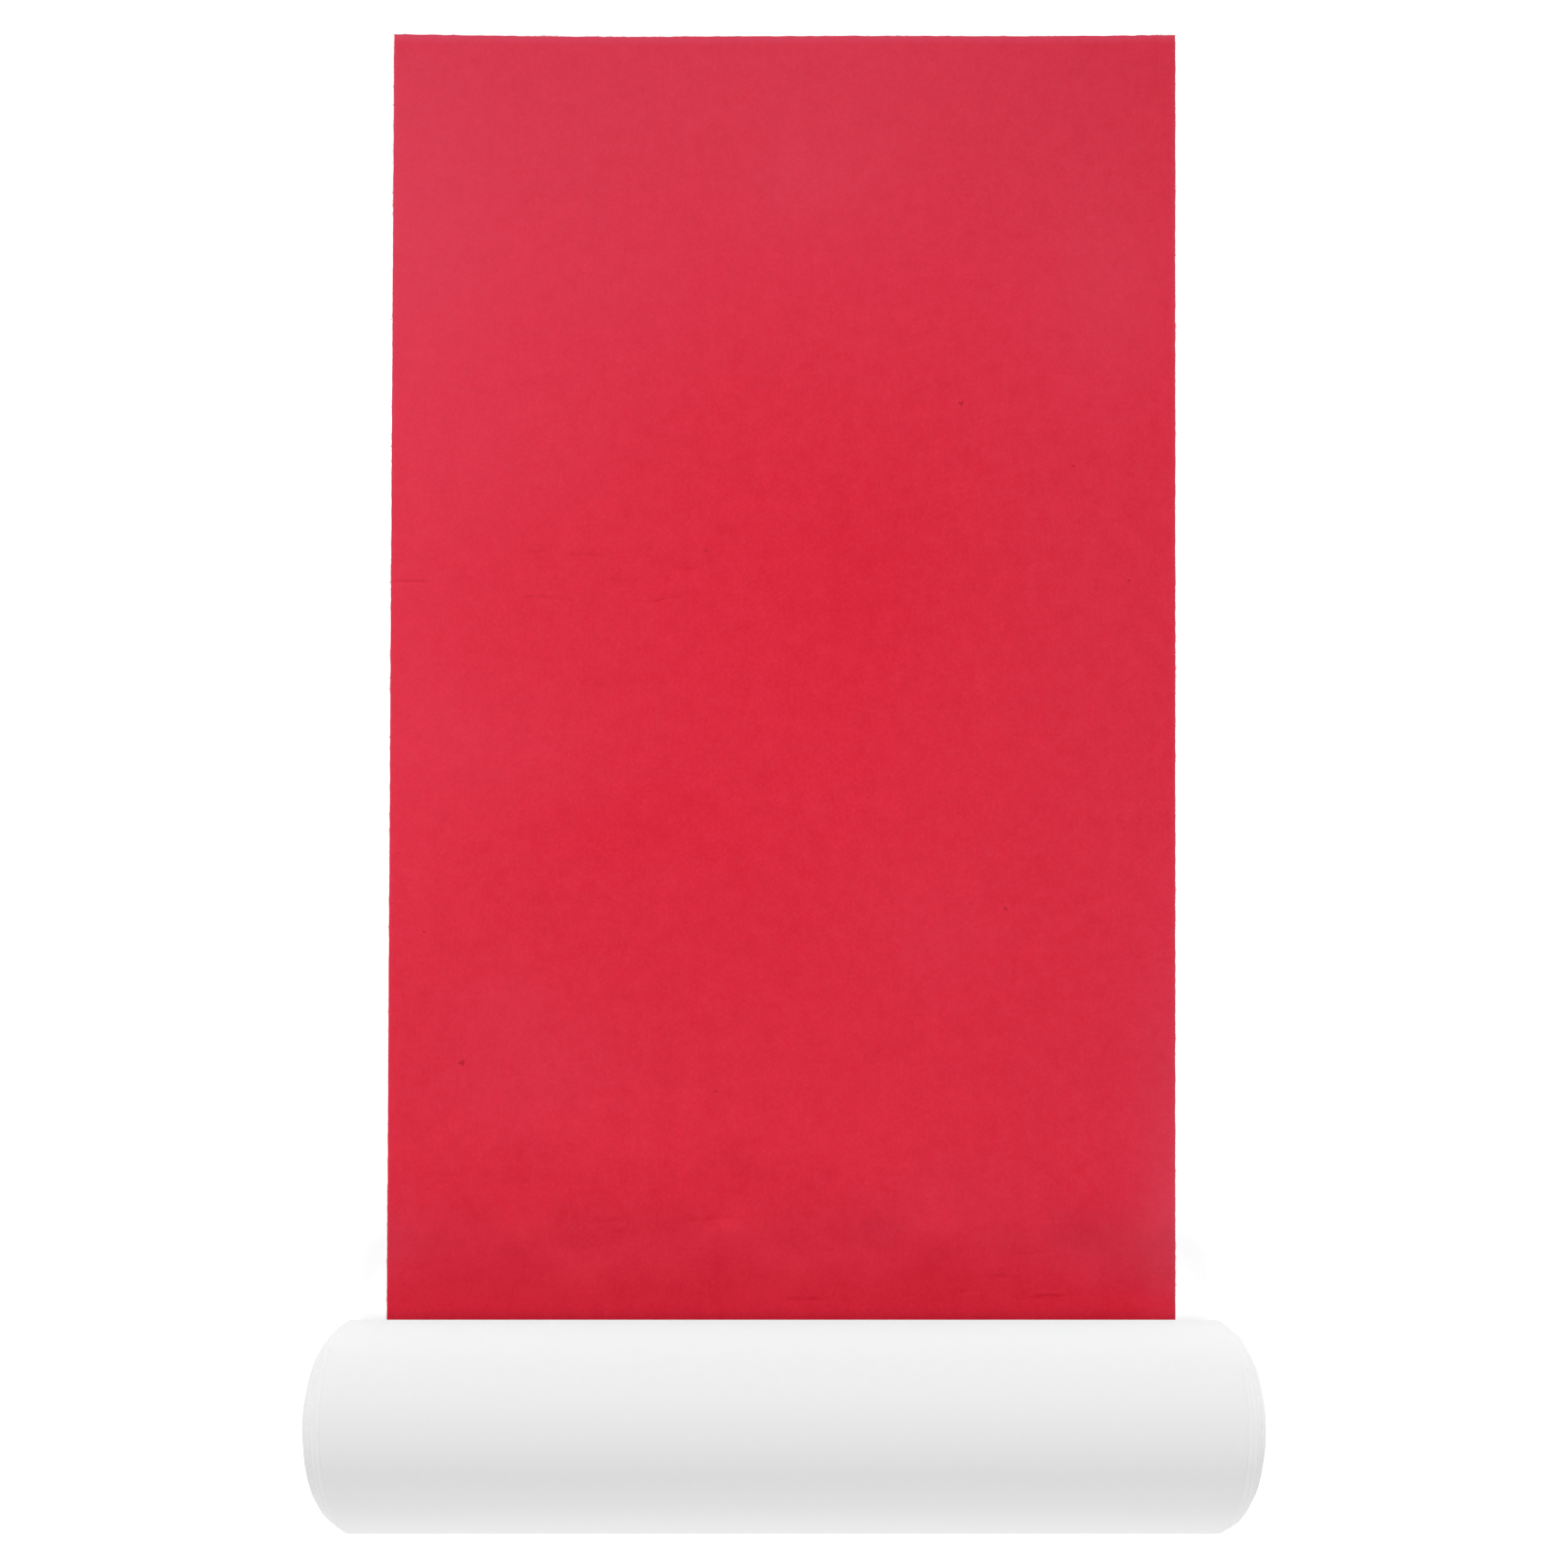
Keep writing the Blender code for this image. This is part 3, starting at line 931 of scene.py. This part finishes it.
# %% Build the matted fibres group
FIBRE_ANGLES = (4, 93, 38, 141)
FIBRE_STARTS = 0.52
FIBRE_FULL = 0.78
GRAIN_SHARE_OF_HEIGHT = 0.6
LAY_SPACING = 0.37
CLOUD_DETAIL = (4.0, 0.66)
DUST_FINENESS = 0.5
DUST_DETAIL = (3.0, 0.62)
DUST_PLACE = (3.1, 1.7, 0.0)
matted_fibres, given, result = new_group(
    "matted_fibres",
    [("Place", "Vector", None), ("Cloud Size", "Float", 0.004), ("Fibre Width", "Float", 0.0003),
     ("Fibre Length", "Float", 0.003)],
    [(label, "Float") for label in ("Clouds", "Fibres", "Grain", "Dust", "Height")])
tree = matted_fibres


def sized_noise(tree, place, size, detail, roughness=0.5):
    """Noise whose lumps are about size across."""
    scaled = put(tree, "ShaderNodeVectorMath", {0: place, 1: size}, operation="DIVIDE")
    values = {"Vector": scaled.outputs["Vector"], "Scale": 1.0, "Detail": detail, "Roughness": roughness}
    return put(tree, "ShaderNodeTexNoise", values, noise_dimensions="2D").outputs["Fac"]


place, cloud_size, fibre_width, fibre_length = given.outputs[:4]
cell = put(tree, "ShaderNodeCombineXYZ", {"X": fibre_width, "Y": fibre_length, "Z": 1.0})
fibres = None
for number, angle in enumerate(FIBRE_ANGLES):
    turned = put(tree, "ShaderNodeMapping", {"Vector": place}, vector_type="TEXTURE")
    turned.inputs["Rotation"].default_value[2] = math.radians(angle)
    turned.inputs["Location"].default_value[0] = LAY_SPACING * number
    lay = stretch(tree, sized_noise(tree, turned.outputs["Vector"], cell.outputs[0], 0.0),
                  FIBRE_STARTS, FIBRE_FULL)
    fibres = lay if fibres is None else maths(tree, "MAXIMUM", fibres, lay)
clouds = sized_noise(tree, place, cloud_size, *CLOUD_DETAIL)
elsewhere = put(tree, "ShaderNodeVectorMath", {0: place, 1: DUST_PLACE}, operation="ADD")
dust_size = maths(tree, "MULTIPLY", cloud_size, DUST_FINENESS)
dust = sized_noise(tree, elsewhere.outputs["Vector"], dust_size, *DUST_DETAIL)
grain = sized_noise(tree, place, fibre_width, 2.0)
height = maths(tree, "ADD", fibres, maths(tree, "MULTIPLY", grain, GRAIN_SHARE_OF_HEIGHT))
for socket, value in zip(result.inputs, (clouds, fibres, grain, dust, height)):
    feed(tree, socket, value)
print("matted fibres group:", len(matted_fibres.nodes), "nodes")

# %% [markdown]
# ### Dye, and painted light
# Dyed wool is never one red: thick places take more dye, single fibres stay lighter, and brushed nap
# shows it lighter or paler. Through the same two attributes come the painted light and shade and the
# painted sheen of the soft areas above. The second group turns the masks into a colour between a deep
# and a bright red, and then towards a pale one.

# %% Build the dye and painted light group
dye_and_painted_light, given, result = new_group(
    "dye_and_painted_light",
    [("Deep", "Color", None), ("Bright", "Color", None), ("Pale", "Color", None),
     ("Clouds", "Float", 0.5), ("Fibres", "Float", 0.0), ("Grain", "Float", 0.5),
     ("Dust", "Float", 0.5), ("Nap_and_painted_light", "Float", 0.0), ("Paler_nap_and_sheen", "Float", 0.0)],
    [("Color", "Color")])
tree = dye_and_painted_light
CLOUD_CONTRAST = 0.38
FIBRE_CONTRAST = 0.28
GRAIN_CONTRAST = 0.26
NAP_AND_LIGHT_CONTRAST = 0.42
DUST_CONTRAST = 0.42
PALE_CONTRAST = 0.40
USUAL_LEVEL = 0.43
USUAL_DUST = 0.11


def around_half(tree, value, contrast):
    """A mask's distance from one half, times a contrast."""
    return maths(tree, "MULTIPLY", maths(tree, "SUBTRACT", value, 0.5), contrast)


level = maths(tree, "ADD", around_half(tree, given.outputs["Clouds"], CLOUD_CONTRAST),
              around_half(tree, given.outputs["Grain"], GRAIN_CONTRAST))
for label, contrast in (("Fibres", FIBRE_CONTRAST), ("Nap_and_painted_light", NAP_AND_LIGHT_CONTRAST)):
    level = maths(tree, "ADD", level, maths(tree, "MULTIPLY", given.outputs[label], contrast))
level = maths(tree, "ADD", level, USUAL_LEVEL, clamp=True)
# the level holds the nap's tone together with the painted light and shade
dyed_and_lit = mix_colours(tree, level, given.outputs["Deep"], given.outputs["Bright"])
# paleness from dust, from the nap, and from a painted sheen
pale = maths(tree, "ADD", around_half(tree, given.outputs["Dust"], DUST_CONTRAST), USUAL_DUST)
pale = maths(tree, "ADD", pale, given.outputs["Paler_nap_and_sheen"])
dust_and_sheen = maths(tree, "MULTIPLY", pale, PALE_CONTRAST, clamp=True)
feed(tree, result.inputs["Color"], mix_colours(tree, dust_and_sheen, dyed_and_lit, given.outputs["Pale"]))
print("dyed colour group:", len(dye_and_painted_light.nodes), "nodes")

# %% [markdown]
# ## The felt
# Felt is rough and has a soft sheen, because hairs stand in it every way. Red felt would also tint the
# white roll and the table beside it. Pictures of goods have that cast cleaned away, so the material
# shows the camera its red, and the light that bounces on a plain pale grey. The Light Path node tells
# the two apart.

# %% Make the felt materials
DEEP_RED = (0.605, 0.008, 0.025, 1.0)
BRIGHT_RED = (0.85, 0.033, 0.066, 1.0)
PALE_RED = (0.705, 0.085, 0.150, 1.0)
BOUNCE_GREY = (0.86, 0.86, 0.86, 1.0)
NAP_ROUGHNESS = 0.97
FIBRE_POLISH = 0.12
NAP_BUMP = 0.46
NAP_GLOSS = {"Specular IOR Level": 0.06, "Sheen Weight": 0.06, "Sheen Roughness": 0.45,
             "Sheen Tint": (1.0, 0.72, 0.76, 1.0)}
# name, cloud size, fibre width, fibre length and bump depth in metres, share of the full colour
FELT_FINISHES = [
    ("red_felt", 0.0140, 0.00024, 0.0032, 0.00026, 1.0),
    # the cut faces and the stray hairs at 0.95 of the full colour: a slight painted shade along the cut
    # edges
    ("red_felt_cut", 0.0011, 0.00014, 0.0009, 0.00022, 0.95),
    ("stray_hair", 0.0042, 0.00034, 0.0034, 0.00002, 0.95),
    ("knotted_fibre", 0.0015, 0.00020, 0.0012, 0.00010, 0.72),
    # the far edge's tufts at 0.42 of the full colour: a painted shadow along the cut edge
    ("shadow_dark_hair", 0.0042, 0.00034, 0.0034, 0.00002, 0.42),
]
WORN = [(felt_turns, "red_felt", "red_felt_cut"), (felt_loose, "red_felt", "red_felt_cut"),
        (edge_fluff, "stray_hair"), (end_fluff, "stray_hair"), (face_fluff, "stray_hair"),
        (felt_knots, "knotted_fibre"), (far_edge_shadow_tufts, "shadow_dark_hair")]


def finish_of(name):
    """An empty material: its node tree, its shader and its output."""
    made = bpy.data.materials.new(name)
    made.use_nodes = True
    tree = made.node_tree
    return made, tree, tree.nodes["Principled BSDF"], tree.nodes["Material Output"]


def mat_of_fibres(tree, cloud_size, fibre_width, fibre_length):
    """The fibre group on the strip's own UVs."""
    place = put(tree, "ShaderNodeUVMap", uv_map="strip")
    values = {"Place": place.outputs["UV"], "Cloud Size": cloud_size, "Fibre Width": fibre_width,
              "Fibre Length": fibre_length}
    return put(tree, "ShaderNodeGroup", values, node_tree=matted_fibres)


def raise_surface(tree, shader, height, distance, strength):
    """Feed a height to the shader as bump."""
    bump = put(tree, "ShaderNodeBump", {"Distance": distance, "Strength": strength, "Height": height})
    feed(tree, shader.inputs["Normal"], bump.outputs["Normal"])


def seen_and_lit(tree, lit, seen, output):
    """Show the camera one shader and all other light another."""
    path = put(tree, "ShaderNodeLightPath")
    parts = {0: path.outputs["Is Camera Ray"], 1: lit.outputs[0], 2: seen.outputs[0]}
    either = put(tree, "ShaderNodeMixShader", parts)
    feed(tree, output.inputs["Surface"], either.outputs["Shader"])


def felt_finish(name, cloud_size, fibre_width, fibre_length, bump_distance, shade):
    """Red felt, with its fibres at the sizes given."""
    made, tree, shader, output = finish_of(name)
    mat = mat_of_fibres(tree, cloud_size, fibre_width, fibre_length)
    dye_and_light = put(tree, "ShaderNodeGroup", node_tree=dye_and_painted_light)
    for label, colour in (("Deep", DEEP_RED), ("Bright", BRIGHT_RED), ("Pale", PALE_RED)):
        dye_and_light.inputs[label].default_value = (*(shade * channel for channel in colour[:3]), 1.0)
    for label in ("Clouds", "Fibres", "Grain", "Dust"):
        feed(tree, dye_and_light.inputs[label], mat.outputs[label])
    # the nap's tone, with painted light, shade and sheen, from the two attributes
    for label in ("Nap_and_painted_light", "Paler_nap_and_sheen"):
        stored = put(tree, "ShaderNodeAttribute", attribute_name=label.lower())
        feed(tree, dye_and_light.inputs[label], stored.outputs["Fac"])
    feed(tree, shader.inputs["Base Color"], dye_and_light.outputs["Color"])
    polish = maths(tree, "MULTIPLY", mat.outputs["Fibres"], FIBRE_POLISH)
    feed(tree, shader.inputs["Roughness"], maths(tree, "SUBTRACT", NAP_ROUGHNESS, polish))
    feed_inputs(tree, shader, NAP_GLOSS)
    raise_surface(tree, shader, mat.outputs["Height"], bump_distance, NAP_BUMP)
    grey = put(tree, "ShaderNodeBsdfDiffuse", {"Color": BOUNCE_GREY})
    seen_and_lit(tree, grey, shader, output)
    return made


finishes = {row[0]: felt_finish(*row) for row in FELT_FINISHES}
for piece, *names in WORN:
    for name in names:
        piece.data.materials.append(finishes[name])
print("felt materials:", ", ".join(finishes))

# %% [markdown]
# ## The backing paper
# Release paper is smooth and slightly satin. Of the cloudy formation of its fibres only a trace shows
# on its surface, in colour and in roughness.

# %% Make the paper material
PAPER_DARK = (0.690, 0.690, 0.692, 1.0)
PAPER_LIGHT = (0.712, 0.712, 0.712, 1.0)
PAPER_ROUGHNESS = 0.62
FORMATION_ROUGHNESS = 0.12
FORMATION_SIZES = (0.0060, 0.00016, 0.0016)
PAPER_SPECULAR = 0.25
PAPER_BUMP_DEPTH = 0.00002
PAPER_BUMP = 0.3
white_paper, tree, shader, _ = finish_of("white_paper")
mat = mat_of_fibres(tree, *FORMATION_SIZES)
feed(tree, shader.inputs["Base Color"], mix_colours(tree, mat.outputs["Clouds"], PAPER_DARK, PAPER_LIGHT))
patchy = maths(tree, "MULTIPLY", mat.outputs["Clouds"], FORMATION_ROUGHNESS)
feed(tree, shader.inputs["Roughness"], maths(tree, "ADD", PAPER_ROUGHNESS, patchy))
shader.inputs["Specular IOR Level"].default_value = PAPER_SPECULAR
raise_surface(tree, shader, mat.outputs["Height"], PAPER_BUMP_DEPTH, PAPER_BUMP)
for piece in (backing_turns, backing_loose) * 2:
    piece.data.materials.append(white_paper)
print("paper material:", white_paper.name)

# %% [markdown]
# ## Join the frame
# Each piece rides on the part's one body. The wound turns stand for the roll's solid, and the loose felt
# for the sheet's, so both solids are hidden.

felt_pieces = (felt_turns, felt_loose, edge_fluff, far_edge_shadow_tufts, end_fluff, face_fluff, felt_knots)
paper_pieces = (backing_turns, backing_loose)
for piece in felt_pieces:
    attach(piece, "root")
for piece in paper_pieces:
    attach(piece, "root")
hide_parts("felt_roll")
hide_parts("felt_sheet")
print(len(felt_pieces), "pieces of felt and", len(paper_pieces), "of paper")

# %% [markdown]
# ## The table
# A plain white table runs out past every view. Part of its light is its own, so the soft shadow under
# the roll stays faint, as on a picture made for a shop.

# %% Lay the table
TABLE_SIZE = 40.0
TABLE_DROP = 0.0003
TABLE_OWN_LIGHT = 0.37
TABLE_WHITE = 0.76
PURE_WHITE = (1.0, 1.0, 1.0, 1.0)
bpy.ops.mesh.primitive_plane_add(size=TABLE_SIZE, location=(0, 0, -TABLE_DROP))
table_top = bpy.context.object
table_top.name = "table_top"
table_white, tree, shader, _ = finish_of("table_white")
feed_inputs(tree, shader, {"Base Color": (TABLE_WHITE, TABLE_WHITE, TABLE_WHITE, 1.0), "Roughness": 1.0,
                           "Specular IOR Level": 0.0, "Emission Color": PURE_WHITE,
                           "Emission Strength": TABLE_OWN_LIGHT})
table_top.data.materials.append(table_white)
print("table", TABLE_SIZE, "m across")

# %% [markdown]
# ## Soft studio light
# Big soft boxes far away light the whole strip evenly. A sun lamp with a wide angle is the simplest such
# box: its light has one direction and no falloff. Six of them stand in an arch over the roll. The low
# ones brighten its flanks, which leaves a band near its top as its darkest part. Strength is the share of
# a white table's brightness that the box would add from straight overhead.

# %% Hang the lights
# name, lean from straight up in degrees (plus is the far side), share, softness in degrees
SOFT_BOXES = [
    ("low_back", -88.0, 0.267, 5.0),
    ("middle_back", -64.0, 0.128, 12.0),
    ("high_back", -32.0, 0.319, 18.0),
    ("high_front", 20.0, 0.318, 18.0),
    ("middle_front", 70.0, 0.250, 12.0),
    ("low_front", 86.0, 0.342, 5.0),
]
LAMP_DISTANCE = 3.0


def hang_soft_box(name, lean, share, softness):
    """A sun lamp with a wide angle."""
    lamp = bpy.data.lights.new(name, "SUN")
    lamp.energy = math.pi * share
    lamp.angle = math.radians(softness)
    tilt = math.radians(lean)
    box = place_in_scene(lamp)
    box.rotation_euler = (-tilt, 0.0, 0.0)
    box.location = (0.0, LAMP_DISTANCE * math.sin(tilt), LAMP_DISTANCE * math.cos(tilt))
    print(f"{name}: {lamp.energy:.2f} watts a square metre, {lean} degrees over")


for soft_box in SOFT_BOXES:
    hang_soft_box(*soft_box)

# %% [markdown]
# The rest of the light is an even glow from all round. The camera sees the world as pure white instead,
# so the picture has no horizon.

# %% Light the world
SKY_SHARE = 0.26
BACKDROP_STRENGTH = 1.05
world = bpy.data.worlds.new("studio")
bpy.context.scene.world = world
world.use_nodes = True
tree = world.node_tree
glow = tree.nodes["Background"]
feed_inputs(tree, glow, {"Color": PURE_WHITE, "Strength": SKY_SHARE})
backdrop = put(tree, "ShaderNodeBackground", {"Color": PURE_WHITE, "Strength": BACKDROP_STRENGTH})
seen_and_lit(tree, glow, backdrop, tree.nodes["World Output"])
bpy.context.scene.view_settings.view_transform = "Standard"
print("sky share", SKY_SHARE)
